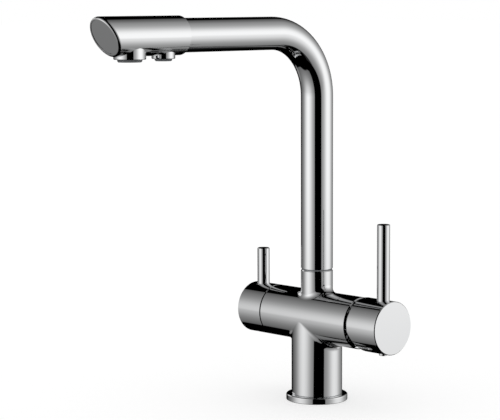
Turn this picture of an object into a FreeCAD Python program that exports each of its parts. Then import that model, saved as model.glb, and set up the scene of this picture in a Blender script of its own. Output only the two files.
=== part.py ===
"""Three-way kitchen mixer tap: barrel body on a column, swivel swan-neck spout with two outlets,
a lever-operated mixer cartridge at one end of the barrel and a quarter-turn filter valve at the other.

Millimetres. The origin is the centre of the base ring on the worktop. +Z is up, the spout points
along -Y, the mixer handle is at +X and the filter handle at -X.
"""
import FreeCAD, Part
import Sketcher
import os
import re
from math import cos, pi, radians, sin

os.makedirs("parts", exist_ok=True)

# Driving dimensions
SIZES = {
    # fits
    "seat_clearance": 0.05,
    "running_clearance": 0.1,
    "edge_break": 0.4,
    # barrel, column and neck
    "barrel_radius": 22.5,
    "axis_height": 74.0,
    "column_inset": 0.2,
    "crease_fillet": 6.4,
    "neck_fillet": 6.0,
    "neck_rise": 18.9,
    "neck_chamfer": 0.7,
    "foot_height": 0.8,
    "mixer_face": 54.6,
    "mixer_face_chamfer": 0.8,
    "filter_face": 49.0,
    "filter_face_chamfer": 0.5,
    # base ring and gasket
    "ring_proud": 4.5,
    "ring_height": 5.5,
    "ring_bore": 19.2,
    "ring_round": 1.2,
    "gasket_inner": 20.4,
    "gasket_outer": 25.4,
    "gasket_thickness": 1.5,
    # ways and sockets in the casting
    "port_ahead": 4.75,
    "port_aside": 8.25,
    "filter_port_back": 9.5,
    "port_radius": 4.5,
    "port_depth": 14.0,
    "way_radius": 3.25,
    "inlet_drop": 6.0,
    "mixed_rise": 8.0,
    "mixed_way_back": 5.0,
    "mixed_way_radius": 3.0,
    "filter_way_rise": 10.0,
    "filter_way_radius": 2.5,
    "stud_back": 6.75,
    "stud_aside": 11.7,
    "stud_radius": 2.5,
    "stud_depth": 12.0,
    "inlet_radius": 17.0,
    "inlet_height": 20.0,
    # neck bore
    "neck_wall": 3.7,
    "neck_depth": 17.4,
    "nipple_socket": 5.0,
    "nipple_depth": 10.0,
    "retainer_drop": 9.4,
    "retainer_radius": 2.0,
    "retainer_tip": 1.1,
    "retainer_length": 4.4,
    "retainer_inset": 0.4,
    # spout tube
    "tube_radius": 14.0,
    "tube_wall": 1.25,
    "bend_radius": 55.0,
    "spout_height": 322.5,
    "tube_reach": 163.0,
    "slip_ring_thickness": 0.9,
    "slip_ring_inset": 0.7,
    # spout connector
    "connector_wall": 2.7,
    "connector_overlap": 15.0,
    "connector_foot": 0.5,
    "o_ring_section": 1.0,
    "o_ring_below": 4.6,
    "o_ring_above": 5.2,
    "retainer_groove": 1.5,
    "retainer_groove_depth": 1.3,
    # filtered-water tube and its nipple
    "inner_tube_radius": 3.0,
    "inner_tube_bore": 2.0,
    "inner_tube_drop": 2.0,
    "inner_tube_back": 5.3,
    "nipple_length": 11.0,
    "nipple_shoulder": 1.5,
    "nipple_ring_rise": 3.4,
    "nipple_ring_spacing": 3.8,
    "nipple_ring_section": 0.6,
    # spout head
    "sleeve_wall": 2.0,
    "sleeve_overlap": 4.5,
    "sleeve_chamfer": 0.5,
    "head_margin": 4.6,
    "head_slant": 28.0,
    "head_rim": 2.7,
    "head_land": 0.2,
    "cap_recess": 0.35,
    "cap_thickness": 2.0,
    "block_gap": 0.8,
    # main outlet
    "outlet_web": 12.5,
    "main_collar_radius": 13.0,
    "main_collar_bottom": 18.3,
    "main_collar_top": 4.0,
    "main_collar_bore": 10.9,
    "main_seat": 7.0,
    "main_seat_bore": 8.5,
    "main_washer": 1.2,
    "main_ring_radius": 10.0,
    "main_ring_bottom": 20.5,
    "main_housing_bore": 7.9,
    "main_chamber": 8.0,
    "main_way_rise": 7.0,
    "main_way_radius": 4.0,
    # filtered-water outlet
    "tube_to_outlet": 2.75,
    "filter_collar_radius": 9.55,
    "filter_collar_bottom": 18.5,
    "filter_collar_top": 7.0,
    "filter_collar_bore": 8.1,
    "filter_seat": 9.5,
    "filter_seat_bore": 5.0,
    "filter_washer": 1.0,
    "filter_ring_radius": 7.1,
    "filter_ring_bottom": 20.4,
    "filter_housing_bore": 5.8,
    "filter_chamber": 4.0,
    # aerator housings and inserts
    "ring_taper": 0.9,
    "insert_recess": 0.6,
    "main_insert_length": 8.0,
    "filter_insert_length": 6.0,
    "jet_radius": 0.7,
    # mixer cartridge
    "chamber_depth": 40.6,
    "chamber_radius": 17.5,
    "nut_thread_radius": 20.0,
    "base_flange": 1.8,
    "base_length": 5.5,
    "base_port_radius": 3.0,
    "base_port_seal": 1.0,
    "housing_wall": 1.3,
    "housing_beyond": 4.0,
    "housing_top_wall": 1.4,
    "housing_mouth": 10.6,
    "disc_thickness": 3.9,
    "disc_gap": 0.05,
    "moving_disc_radius": 12.0,
    "moving_disc_offset": 1.4,
    "carrier_length": 4.0,
    "carrier_radius": 10.8,
    "carrier_hole": 3.1,
    "rotor_skirt": 12.6,
    "rotor_rise": 1.0,
    "rotor_slot_length": 7.6,
    "pivot_depth": 16.6,
    "pivot_pin_radius": 1.5,
    "pivot_pin_half": 12.0,
    "lift_range": 22.0,
    "stem_half": 4.0,
    "stem_heel": 3.4,
    "stem_neck_radius": 1.8,
    "ball_arm": 7.8,
    "ball_radius": 2.6,
    "stem_inset": 6.9,
    "nut_length": 7.0,
    "nut_bore": 13.6,
    "nut_slot_width": 3.0,
    "nut_slot_depth": 2.2,
    "cover_gap": 0.5,
    "cover_mouth": 12.8,
    "cover_bevel": 2.2,
    "cover_inset": 0.4,
    # mixer handle
    "mixer_gap": 2.8,
    "mixer_proud": 0.5,
    "mixer_length": 33.0,
    "handle_wall": 2.4,
    "handle_end_wall": 3.4,
    "handle_end_chamfer": 0.6,
    "mixer_rim_chamfer": 0.7,
    "relief_clearance": 0.6,
    "mixer_pin_inset": 11.2,
    "hub_radius": 8.0,
    "mixer_hub_inset": 8.6,
    "boss_radius": 7.5,
    "mixer_pin_rise": 87.7,
    "lever_radius": 5.5,
    "mixer_lever_seat": 14.0,
    "lever_thread_radius": 3.0,
    "lever_thread_end": 7.0,
    "lever_chamfer": 0.5,
    "grub_radius": 2.5,
    "grub_length": 9.0,
    "grub_hex": 1.45,
    "grub_hex_depth": 2.5,
    "plug_radius": 3.5,
    "plug_seat": 16.0,
    "plug_proud": 1.6,
    # filter handle and headwork
    "filter_gap": 0.45,
    "filter_length": 28.75,
    "filter_pin_inset": 10.5,
    "filter_pin_rise": 54.3,
    "filter_hub_inset": 8.55,
    "filter_lever_seat": 13.0,
    "plug_flush": 0.3,
    "headwork_depth": 35.0,
    "headwork_bore": 11.0,
    "gallery_rise": 6.0,
    "gallery_width": 7.0,
    "gallery_radius": 13.0,
    "pocket_depth": 10.0,
    "headwork_pocket": 17.0,
    "seat_washer_length": 1.6,
    "seat_washer_bore": 4.2,
    "headwork_lift": 0.3,
    "headwork_barrel_bore": 8.5,
    "headwork_disc": 3.0,
    "headwork_disc_radius": 8.3,
    "fork_length": 3.3,
    "fork_radius": 7.6,
    "throat_rise": 12.0,
    "throat_radius": 5.0,
    "headwork_seal": 0.8,
    "flange_length": 3.7,
    "flange_radius": 14.0,
    "headwork_sink": 0.7,
    "headwork_neck": 8.0,
    "window_radius": 2.4,
    "spindle_square": 3.0,
    "spindle_square_beyond": 1.5,
    "spindle_inset": 7.2,
    "spindle_tip_radius": 4.4,
    "clip_thickness": 0.8,
    "clip_radius": 6.5,
    "clip_groove": 3.4,
    "spindle_ring_inset": 5.0,
    "spindle_ring_section": 0.7,
}

# Heights above the worktop, and distances out from the column's axis, that follow from the sizes
PLACES = {
    "ring_radius": "barrel_radius + ring_proud",
    "neck_top": "axis_height + barrel_radius + neck_rise",
    "neck_floor": "neck_top - neck_depth",
    "nipple_floor": "neck_floor - nipple_depth",
    "neck_bore": "tube_radius - neck_wall",
    "connector_bore": "neck_bore - connector_wall",
    "sleeve_radius": "tube_radius + sleeve_wall",
    "cap_radius": "sleeve_radius - head_rim",
    "head_round": "(head_rim - head_land) * tan(45 deg - head_slant / 2 * 1 deg) / "
                  "cos(head_slant * 1 deg)",
    "retainer_height": "neck_top - retainer_drop",
    "o_ring_low": "retainer_height - o_ring_below",
    "o_ring_high": "retainer_height + o_ring_above",
    "nipple_ring_low": "nipple_floor + nipple_ring_rise",
    "nipple_ring_high": "nipple_ring_low + nipple_ring_spacing",
    "sleeve_start": "tube_reach - sleeve_overlap",
    "block_start": "tube_reach + block_gap",
    "filter_reach": "tube_reach + tube_to_outlet + filter_collar_radius",
    "main_reach": "filter_reach + filter_collar_radius + outlet_web + main_collar_radius",
    "inner_tube_reach": "filter_reach - inner_tube_back",
    "head_reach": "main_reach + main_collar_radius + head_margin + sleeve_radius * tan(head_slant * 1 deg)",
    "head_blank": "head_reach + sleeve_radius",
    "chamber_floor": "mixer_face - chamber_depth",
    "mixed_way_ahead": "chamber_floor - mixed_way_back",
    "pivot_reach": "mixer_face - pivot_depth",
    "stem_foot": "pivot_reach - stem_heel",
    "ball_reach": "pivot_reach - ball_arm",
    "housing_end": "pivot_reach + housing_beyond",
    "thread_start": "housing_end - housing_top_wall",
    "mixer_radius": "barrel_radius + mixer_proud",
    "mixer_start": "mixer_face + mixer_gap",
    "mixer_end": "mixer_start + mixer_length",
    "mixer_hub_start": "mixer_start + mixer_hub_inset",
    "mixer_pin_reach": "mixer_end - mixer_pin_inset",
    "stem_end": "mixer_end - stem_inset",
    "filter_start": "filter_face + filter_gap",
    "filter_end": "filter_start + filter_length",
    "filter_hub_start": "filter_start + filter_hub_inset",
    "filter_pin_reach": "filter_end - filter_pin_inset",
    "spindle_end": "filter_end - spindle_inset",
    "headwork_floor": "filter_face - headwork_depth",
    "gallery_start": "headwork_floor + gallery_rise",
    "gallery_end": "gallery_start + gallery_width",
    "throat_start": "headwork_floor + throat_rise",
    "headwork_step": "filter_face - pocket_depth",
    "headwork_end": "filter_face - headwork_sink",
    "spindle_ring_reach": "headwork_step - spindle_ring_inset",
    "spindle_square_start": "filter_face + spindle_square_beyond",
}

doc = FreeCAD.newDocument("kitchen_mixer_tap")
sheet = doc.addObject("Spreadsheet::Sheet", "Sizes")
for row, (alias, value) in enumerate(SIZES.items(), start=1):
    sheet.set("A%d" % row, alias)
    sheet.set("B%d" % row, str(value))
    sheet.setAlias("B%d" % row, alias)
doc.recompute()

WORDS_OF_MATHS = ("sin", "cos", "tan", "sqrt", "deg")


def bound(formula):
    """A formula in the words of SIZES and PLACES, written for FreeCAD's expression engine."""
    def reference(found):
        word = found.group()
        if word in PLACES:
            return "(%s)" % bound(PLACES[word])
        return word if word in WORDS_OF_MATHS else "Sizes." + word
    return re.sub(r"[a-z][a-z_]*", reference, formula)


def number(alias):
    """The value of one cell, for choosing edges."""
    return float(SIZES[alias])


# Frames: a piece is drawn in its own frame and placed by formulas. "barrel" runs outward along +X,
# "filter" outward along -X and "head" outward along the spout, each with its origin on its own axis.
TURNS = {"barrel": 0, "filter": 180, "head": -90, "upright": 0}
HEIGHTS = {"barrel": "axis_height", "filter": "axis_height", "head": "spout_height", "upright": "0"}


def place(piece, frame, reach="0"):
    """Put a piece in one of the frames, moved outward by reach."""
    turn = radians(TURNS[frame])
    piece.Placement = FreeCAD.Placement(
        FreeCAD.Vector(0, 0, 0), FreeCAD.Rotation(FreeCAD.Vector(0, 0, 1), TURNS[frame]))
    piece.setExpression("Placement.Base.x", bound("(%s) * %d" % (reach, round(cos(turn)))))
    piece.setExpression("Placement.Base.y", bound("(%s) * %d" % (reach, round(sin(turn)))))
    piece.setExpression("Placement.Base.z", bound(HEIGHTS[frame]))


def new_body(label, frame="upright", reach="0"):
    body = doc.addObject("PartDesign::Body", label)
    body.Label = label
    place(body, frame, reach)
    return body


def origin_plane(body, plane):
    return [f for f in body.Origin.OriginFeatures if f.Role == plane + "_Plane"][0]


def new_sketch(body, plane, offset="0"):
    """A sketch on one of the body's origin planes, moved along that plane's normal."""
    sketch = body.newObject("Sketcher::SketchObject", body.Name + "_sketch")
    sketch.AttachmentSupport = [(origin_plane(body, plane), "")]
    sketch.MapMode = "FlatFace"
    if offset != "0":
        sketch.setExpression("AttachmentOffset.Base.z", bound(offset))
    return sketch


def pin_point(sketch, geometry, end, across, up):
    """Hold one point of a sketch at two formulas."""
    drawn = sketch.getPoint(geometry, end)
    for kind, formula, now in (("DistanceX", across, drawn.x), ("DistanceY", up, drawn.y)):
        index = sketch.addConstraint(Sketcher.Constraint(kind, -1, 1, geometry, end, now))
        sketch.setExpression("Constraints[%d]" % index, bound(formula))


def draw_polygon(sketch, points):
    """A closed outline through points given as pairs of formulas."""
    count = len(points)
    first = sketch.GeometryCount
    start = [FreeCAD.Vector(10 * cos(2 * pi * i / count), 10 * sin(2 * pi * i / count), 0)
             for i in range(count)]
    for i in range(count):
        sketch.addGeometry(Part.LineSegment(start[i], start[(i + 1) % count]), False)
    for i in range(count):
        sketch.addConstraint(
            Sketcher.Constraint("Coincident", first + i, 2, first + (i + 1) % count, 1))
    for i, (across, up) in enumerate(points):
        pin_point(sketch, first + i, 1, across, up)


def draw_circle(sketch, radius, across="0", up="0"):
    circle = sketch.addGeometry(
        Part.Circle(FreeCAD.Vector(0, 0, 0), FreeCAD.Vector(0, 0, 1), 1.0), False)
    index = sketch.addConstraint(Sketcher.Constraint("Radius", circle, 1.0))
    sketch.setExpression("Constraints[%d]" % index, bound(radius))
    pin_point(sketch, circle, 3, across, up)


def draw_box(sketch, left, low, right, high):
    draw_polygon(sketch, [(left, low), (right, low), (right, high), (left, high)])


def turn_profile(body, axis, points, cut=False, plane="XZ"):
    """Revolve an outline of (along, radius) pairs about the body's X or Z axis."""
    sketch = new_sketch(body, plane)
    if axis == "X":
        draw_polygon(sketch, points)
    else:
        draw_polygon(sketch, [(radius, along) for along, radius in points])
    kind = "PartDesign::Groove" if cut else "PartDesign::Revolution"
    feature = body.newObject(kind, body.Name + ("_groove" if cut else "_turned"))
    feature.Profile = sketch
    feature.ReferenceAxis = (sketch, ["H_Axis" if axis == "X" else "V_Axis"])
    feature.Angle = 360
    return feature


def tube_profile(start, end, outer, inner="0"):
    return [(start, inner), (start, outer), (end, outer), (end, inner)]


def extrude(body, sketch, length, cut=False, against=False, both=False):
    """Pad a sketch along its plane's normal, or cut along it; against goes the other way."""
    kind = "PartDesign::Pocket" if cut else "PartDesign::Pad"
    feature = body.newObject(kind, body.Name + ("_pocket" if cut else "_pad"))
    feature.Profile = sketch
    feature.setExpression("Length", bound(length))
    if both:
        feature.Midplane = True
    feature.Reversed = against != cut
    return feature


def drill(body, plane, start, length, radius, across="0", up="0", against=False):
    """A round hole from start along a plane's normal."""
    sketch = new_sketch(body, plane, start)
    draw_circle(sketch, radius, across, up)
    return extrude(body, sketch, length, cut=True, against=against)


def round_edges(body, base, circles):
    """The names of base's circular edges that match one of the (along axis, place, radius) rows."""
    names = []
    for index, edge in enumerate(base.Shape.Edges, start=1):
        if edge.Curve.TypeId != "Part::GeomCircle":
            continue
        for axis, place_along, radius in circles:
            centre = getattr(edge.Curve.Center, axis)
            near = abs(centre - place_along) < 0.02 and abs(edge.Curve.Radius - radius) < 0.02
            lies_across = abs(getattr(edge.Curve.Axis, axis)) > 0.99
            if near and lies_across:
                names.append("Edge%d" % index)
    return names


def end_rim(base, axis, end):
    """The names of base's widest circular edges at its low or high end along an axis."""
    rims = []
    for index, edge in enumerate(base.Shape.Edges, start=1):
        across = edge.Curve.TypeId == "Part::GeomCircle" and abs(getattr(edge.Curve.Axis, axis)) > 0.99
        if across:
            rims.append(("Edge%d" % index, getattr(edge.Curve.Center, axis), edge.Curve.Radius))
    choose = max if end == "high" else min
    limit = choose(rim[1] for rim in rims)
    there = [rim for rim in rims if abs(rim[1] - limit) < 0.01]
    widest = max(rim[2] for rim in there)
    return [rim[0] for rim in there if abs(rim[2] - widest) < 0.01]


def ease(body, base, names, size, kind="Chamfer"):
    """Chamfer or fillet named edges of base."""
    feature = body.newObject("PartDesign::" + kind, body.Name + "_" + kind.lower())
    feature.Base = (base, names)
    feature.setExpression("Size" if kind == "Chamfer" else "Radius", bound(size))
    body.Tip = feature
    return feature


def torus(name, frame, along, major, section, upright):
    """One seal ring about the Z axis (upright) or the frame's outward axis."""
    ring = doc.addObject("Part::Torus", name)
    ring.setExpression("Radius1", bound(major))
    ring.setExpression("Radius2", bound(section))
    turn = radians(TURNS[frame])
    if upright:
        ring.setExpression("Placement.Base.z", bound(along))
    else:
        ring.Placement = FreeCAD.Placement(
            FreeCAD.Vector(0, 0, 0), FreeCAD.Rotation(FreeCAD.Vector(0, 1, 0), 90))
        ring.setExpression("Placement.Base.x", bound("(%s) * %d" % (along, round(cos(turn)))))
        ring.setExpression("Placement.Base.z", bound(HEIGHTS[frame]))
    return ring


def group(label, members):
    """Several separate solids kept under one label."""
    compound = doc.addObject("Part::Compound", label)
    compound.Label = label
    compound.Links = members
    return compound


pieces = []

# Body casting: column, barrel and neck in one, then its chambers and ways
casting = new_body("body_casting", "barrel")
pieces.append(casting)
COLUMN = "barrel_radius - column_inset"
turn_profile(casting, "Z", [
    ("foot_height - axis_height", "0"),
    ("foot_height - axis_height", "ring_bore - seat_clearance"),
    ("ring_height - axis_height", "ring_bore - seat_clearance"),
    ("ring_height - axis_height", COLUMN),
    ("0", COLUMN),
    ("0", "tube_radius"),
    ("neck_top - axis_height", "tube_radius"),
    ("neck_top - axis_height", "0")])
barrel = turn_profile(casting, "X", tube_profile("-filter_face", "mixer_face", "barrel_radius"), plane="XY")
doc.recompute()


def junction_edges(shape, low, high):
    """Where a column or neck meets the barrel: curved edges that are no circles, by height."""
    names = []
    for index, edge in enumerate(shape.Edges, start=1):
        curved = edge.Curve.TypeId not in ("Part::GeomLine", "Part::GeomCircle")
        if curved and low < edge.CenterOfMass.z < high:
            names.append("Edge%d" % index)
    return names


reach_down = number("axis_height")
neck_joint = ease(casting, barrel, junction_edges(barrel.Shape, 1, reach_down), "neck_fillet", "Fillet")
doc.recompute()
column_joint = ease(casting, neck_joint, junction_edges(neck_joint.Shape, -reach_down, -1),
                    "crease_fillet", "Fillet")
doc.recompute()
mixer_rim = ease(casting, column_joint, end_rim(column_joint, "x", "high"), "mixer_face_chamfer")
doc.recompute()
filter_rim = ease(casting, mixer_rim, end_rim(mixer_rim, "x", "low"), "filter_face_chamfer")
doc.recompute()
neck_rim = ease(casting, filter_rim, end_rim(filter_rim, "z", "high"), "neck_chamfer")
doc.recompute()
ease(casting, neck_rim, round_edges(casting, neck_rim, [
    ("z", number("ring_height") - number("axis_height"),
     number("barrel_radius") - number("column_inset"))]), "edge_break")
turn_profile(casting, "X", [
    ("chamber_floor", "0"),
    ("chamber_floor", "chamber_radius"),
    ("thread_start", "chamber_radius"),
    ("thread_start", "nut_thread_radius"),
    ("mixer_face + 1", "nut_thread_radius"),
    ("mixer_face + 1", "0")], cut=True)
turn_profile(casting, "X", [
    ("-headwork_floor", "0"),
    ("-headwork_floor", "headwork_bore"),
    ("-gallery_start", "headwork_bore"),
    ("-gallery_start", "gallery_radius"),
    ("-gallery_end", "gallery_radius"),
    ("-gallery_end", "headwork_bore"),
    ("-headwork_step", "headwork_bore"),
    ("-headwork_step", "headwork_pocket"),
    ("-filter_face - 1", "headwork_pocket"),
    ("-filter_face - 1", "0")], cut=True)
turn_profile(casting, "Z", [
    ("filter_way_rise", "0"),
    ("filter_way_rise", "filter_way_radius"),
    ("nipple_floor - axis_height", "filter_way_radius"),
    ("nipple_floor - axis_height", "nipple_socket"),
    ("neck_floor - axis_height", "nipple_socket"),
    ("neck_floor - axis_height", "neck_bore"),
    ("neck_top - axis_height + 1", "neck_bore"),
    ("neck_top - axis_height + 1", "0")], cut=True)
FOOT = "foot_height - axis_height"
drill(casting, "XY", FOOT, "inlet_height", "inlet_radius")
for aside in ("-port_aside", "port_aside"):
    drill(casting, "XY", FOOT, "axis_height - foot_height - inlet_drop + way_radius / 2",
          "way_radius", "port_ahead", aside)
    drill(casting, "YZ", "port_ahead", "chamber_floor - port_ahead + 1",
          "way_radius", aside, "-inlet_drop")
drill(casting, "XY", FOOT, "axis_height - foot_height + way_radius / 2", "way_radius",
      "-filter_port_back")
drill(casting, "YZ", "-headwork_floor - 1", "headwork_floor + 1 - filter_port_back + way_radius / 2",
      "way_radius")
drill(casting, "YZ", "mixed_way_ahead", "chamber_floor - mixed_way_ahead + 1",
      "mixed_way_radius", "0", "mixed_rise")
drill(casting, "XY", "mixed_rise", "neck_floor - axis_height - mixed_rise + 1",
      "mixed_way_radius", "mixed_way_ahead")
drill(casting, "YZ", "-(gallery_start + gallery_end) / 2", "(gallery_start + gallery_end) / 2",
      "filter_way_radius", "0", "filter_way_rise")
drill(casting, "XZ", "-neck_bore + 1", "tube_radius - neck_bore + 2", "retainer_radius + seat_clearance",
      "0", "retainer_height - axis_height", against=True)

# Inlet block soldered into the column's foot: three threaded ports and two stud sockets
inlet = new_body("inlet_block")
pieces.append(inlet)
inlet_solid = turn_profile(inlet, "Z", tube_profile(
    "foot_height", "foot_height + inlet_height", "inlet_radius - seat_clearance"))
doc.recompute()
ease(inlet, inlet_solid, end_rim(inlet_solid, "z", "low"), "edge_break")
for across, up in (("port_ahead", "-port_aside"), ("port_ahead", "port_aside"), ("-filter_port_back", "0")):
    drill(inlet, "XY", "foot_height", "port_depth", "port_radius", across, up)
    drill(inlet, "XY", "foot_height", "inlet_height + 1", "way_radius", across, up)
for aside in ("-stud_aside", "stud_aside"):
    drill(inlet, "XY", "foot_height", "stud_depth", "stud_radius", "-stud_back", aside)

# Base ring under the column, with a groove for the gasket
ring = new_body("base_ring")
pieces.append(ring)
ring_solid = turn_profile(ring, "Z", tube_profile("0", "ring_height", "ring_radius", "ring_bore"))
doc.recompute()
ring_top = ease(ring, ring_solid, end_rim(ring_solid, "z", "high"), "ring_round", "Fillet")
doc.recompute()
ease(ring, ring_top, end_rim(ring_top, "z", "low"), "edge_break")
turn_profile(ring, "Z", tube_profile("-1", "gasket_thickness", "gasket_outer", "gasket_inner"), cut=True)

gasket = new_body("base_gasket")
pieces.append(gasket)
turn_profile(gasket, "Z", tube_profile(
    "0", "gasket_thickness", "gasket_outer - seat_clearance", "gasket_inner + seat_clearance"))

# Slip ring in the swivel groove
TUBE_START = "neck_top + slip_ring_thickness"
slip_ring = new_body("spout_slip_ring")
pieces.append(slip_ring)
turn_profile(slip_ring, "Z", tube_profile(
    "neck_top", TUBE_START + " - seat_clearance", "tube_radius - slip_ring_inset", "neck_bore"))

# Grub screw that keeps the spout in the neck, from the back
SCREW_TAIL = "tube_radius - retainer_inset"
retainer = new_body("spout_retaining_screw")
pieces.append(retainer)
retainer.Placement = FreeCAD.Placement(
    FreeCAD.Vector(0, 0, 0), FreeCAD.Rotation(FreeCAD.Vector(0, 0, 1), 90))
retainer.setExpression("Placement.Base.z", bound("retainer_height"))
turn_profile(retainer, "X", [
    (SCREW_TAIL, "0"),
    (SCREW_TAIL, "retainer_radius"),
    ("neck_bore", "retainer_radius"),
    ("neck_bore", "retainer_tip"),
    (SCREW_TAIL + " - retainer_length", "retainer_tip"),
    (SCREW_TAIL + " - retainer_length", "0")])
hexagon = new_sketch(retainer, "YZ", SCREW_TAIL)
HEX_IN_SCREW = "retainer_radius / 2"
draw_polygon(hexagon, [("%s * cos(%d deg)" % (HEX_IN_SCREW, a), "%s * sin(%d deg)" % (HEX_IN_SCREW, a))
                       for a in range(0, 360, 60)])
extrude(retainer, hexagon, "retainer_length / 2", cut=True, against=True)

# Spout tube, a pipe along an upright run, a quarter bend and a level run


def bent_tube(label, outer, inner, start, bend, height, reach):
    body = new_body(label)
    section = new_sketch(body, "XY", start)
    draw_circle(section, outer)
    draw_circle(section, inner)
    path = new_sketch(body, "YZ")
    bend_low = "%s - %s" % (height, bend)
    turn = number("bend_radius")
    top = number("spout_height")
    foot = FreeCAD.Vector(0, number("axis_height") + 2 * number("barrel_radius"), 0)
    bend_start = FreeCAD.Vector(0, top - turn, 0)
    bend_middle = FreeCAD.Vector(turn * (cos(pi / 4) - 1), top + turn * (sin(pi / 4) - 1), 0)
    bend_end = FreeCAD.Vector(-turn, top, 0)
    tip = FreeCAD.Vector(-number("tube_reach"), top, 0)
    path.addGeometry(Part.LineSegment(foot, bend_start), False)
    path.addGeometry(Part.Arc(bend_start, bend_middle, bend_end), False)
    path.addGeometry(Part.LineSegment(bend_end, tip), False)
    pin_point(path, 0, 1, "0", start)
    pin_point(path, 0, 2, "0", bend_low)
    pin_point(path, 2, 1, "-(%s)" % bend, height)
    pin_point(path, 2, 2, "-(%s)" % reach, height)
    path.addConstraint(Sketcher.Constraint("Coincident", 1, 1, 0, 2))
    path.addConstraint(Sketcher.Constraint("Coincident", 1, 2, 2, 1))
    index = path.addConstraint(Sketcher.Constraint("DistanceY", -1, 1, 1, 3, bend_start.y))
    path.setExpression("Constraints[%d]" % index, bound(bend_low))
    pipe = body.newObject("PartDesign::AdditivePipe", label + "_pipe")
    pipe.Profile = section
    pipe.Spine = path
    return body, pipe


tube, tube_pipe = bent_tube("spout_tube", "tube_radius", "tube_radius - tube_wall", TUBE_START,
                            "bend_radius", "spout_height", "tube_reach")
pieces.append(tube)
doc.recompute()
ease(tube, tube_pipe, end_rim(tube_pipe, "z", "low"), "neck_chamfer")

# Connector: lower half turns in the neck bore, upper half is soldered into the tube
connector = new_body("spout_connector")
pieces.append(connector)
CONNECTOR = "neck_bore - running_clearance"
RING_FLOOR = "neck_bore - running_clearance - 2 * o_ring_section"
CONNECTOR_FOOT = "neck_floor + connector_foot"


def groove_profile(centre, half_width, floor, outer):
    return [("%s - %s" % (centre, half_width), outer), ("%s - %s" % (centre, half_width), floor),
            ("%s + %s" % (centre, half_width), floor), ("%s + %s" % (centre, half_width), outer)]


RING_HALF = "o_ring_section - seat_clearance + 0.15"
turn_profile(connector, "Z", [(CONNECTOR_FOOT, "connector_bore"), (CONNECTOR_FOOT, CONNECTOR)]
             + groove_profile("o_ring_low", "(%s)" % RING_HALF, RING_FLOOR, CONNECTOR)
             + groove_profile("retainer_height", "retainer_groove",
                              "neck_bore - retainer_groove_depth - running_clearance", CONNECTOR)
             + groove_profile("o_ring_high", "(%s)" % RING_HALF, RING_FLOOR, CONNECTOR)
             + [(TUBE_START, CONNECTOR),
                (TUBE_START, "tube_radius - tube_wall - seat_clearance"),
                (TUBE_START + " + connector_overlap", "tube_radius - tube_wall - seat_clearance"),
                (TUBE_START + " + connector_overlap", "connector_bore")])
pieces.append(group("spout_orings", [
    torus("spout_oring_low", "upright", "o_ring_low", CONNECTOR + " - o_ring_section",
          "o_ring_section", True),
    torus("spout_oring_high", "upright", "o_ring_high", CONNECTOR + " - o_ring_section",
          "o_ring_section", True)]))

# Filtered-water tube up the middle of the spout, and the nipple it stands in
inner_tube, inner_pipe = bent_tube(
    "filter_water_tube", "inner_tube_radius", "inner_tube_bore", "nipple_floor + nipple_shoulder",
    "(bend_radius - inner_tube_drop)", "(spout_height - inner_tube_drop)", "inner_tube_reach")
pieces.append(inner_tube)
nipple = new_body("filter_tube_nipple")
pieces.append(nipple)
NIPPLE = "nipple_socket - running_clearance"
NIPPLE_FOOT = "nipple_floor + running_clearance"
NIPPLE_TOP = "nipple_floor + nipple_length"
NIPPLE_RING_HALF = "(nipple_ring_section + 0.1)"
NIPPLE_FLOOR = NIPPLE + " - 2 * nipple_ring_section"
turn_profile(nipple, "Z", [(NIPPLE_FOOT, "inner_tube_bore"), (NIPPLE_FOOT, NIPPLE)]
             + groove_profile("nipple_ring_low", NIPPLE_RING_HALF, NIPPLE_FLOOR, NIPPLE)
             + groove_profile("nipple_ring_high", NIPPLE_RING_HALF, NIPPLE_FLOOR, NIPPLE)
             + [(NIPPLE_TOP, NIPPLE),
                (NIPPLE_TOP, "inner_tube_radius + seat_clearance"),
                ("nipple_floor + nipple_shoulder", "inner_tube_radius + seat_clearance"),
                ("nipple_floor + nipple_shoulder", "inner_tube_bore")])
pieces.append(group("nipple_orings", [
    torus("nipple_oring_low", "upright", "nipple_ring_low", NIPPLE + " - nipple_ring_section",
          "nipple_ring_section", True),
    torus("nipple_oring_high", "upright", "nipple_ring_high", NIPPLE + " - nipple_ring_section",
          "nipple_ring_section", True)]))

# Spout head sleeve with its slanted end
SLANT = "tan(head_slant * 1 deg)"
BEYOND = "2 * sleeve_radius"


def cut_slanted(body, setback, keep_inner=True):
    """Cut away what lies beyond (or before) a plane parallel to the head's slanted end."""
    sketch = new_sketch(body, "XZ")
    middle = "head_reach - (%s) / cos(head_slant * 1 deg)" % setback
    low = "%s - %s * %s" % (middle, BEYOND, SLANT)
    high = "%s + %s * %s" % (middle, BEYOND, SLANT)
    far = "head_blank + %s" % BEYOND if keep_inner else "0"
    draw_polygon(sketch, [(low, "-" + BEYOND), (high, BEYOND), (far, BEYOND), (far, "-" + BEYOND)])
    return extrude(body, sketch, "4 * sleeve_radius", cut=True, both=True)


sleeve = new_body("head_sleeve", "head")
pieces.append(sleeve)
SLEEVE_BORE = "tube_radius + seat_clearance"
HEAD_BORE = "cap_radius + seat_clearance"
sleeve_solid = turn_profile(sleeve, "X", [
    ("sleeve_start", SLEEVE_BORE),
    ("sleeve_start", "sleeve_radius"),
    ("head_blank", "sleeve_radius"),
    ("head_blank", HEAD_BORE),
    ("tube_reach + seat_clearance", HEAD_BORE),
    ("tube_reach + seat_clearance", SLEEVE_BORE)])
doc.recompute()
ease(sleeve, sleeve_solid, end_rim(sleeve_solid, "x", "low"), "sleeve_chamfer")
sleeve_cut = cut_slanted(sleeve, "0")
doc.recompute()
ellipses = [("Edge%d" % index, edge.Curve.MinorRadius)
            for index, edge in enumerate(sleeve_cut.Shape.Edges, start=1)
            if edge.Curve.TypeId == "Part::GeomEllipse"]
widest = max(ellipse[1] for ellipse in ellipses)
outer_rim = [ellipse[0] for ellipse in ellipses if abs(ellipse[1] - widest) < 0.02]
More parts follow.
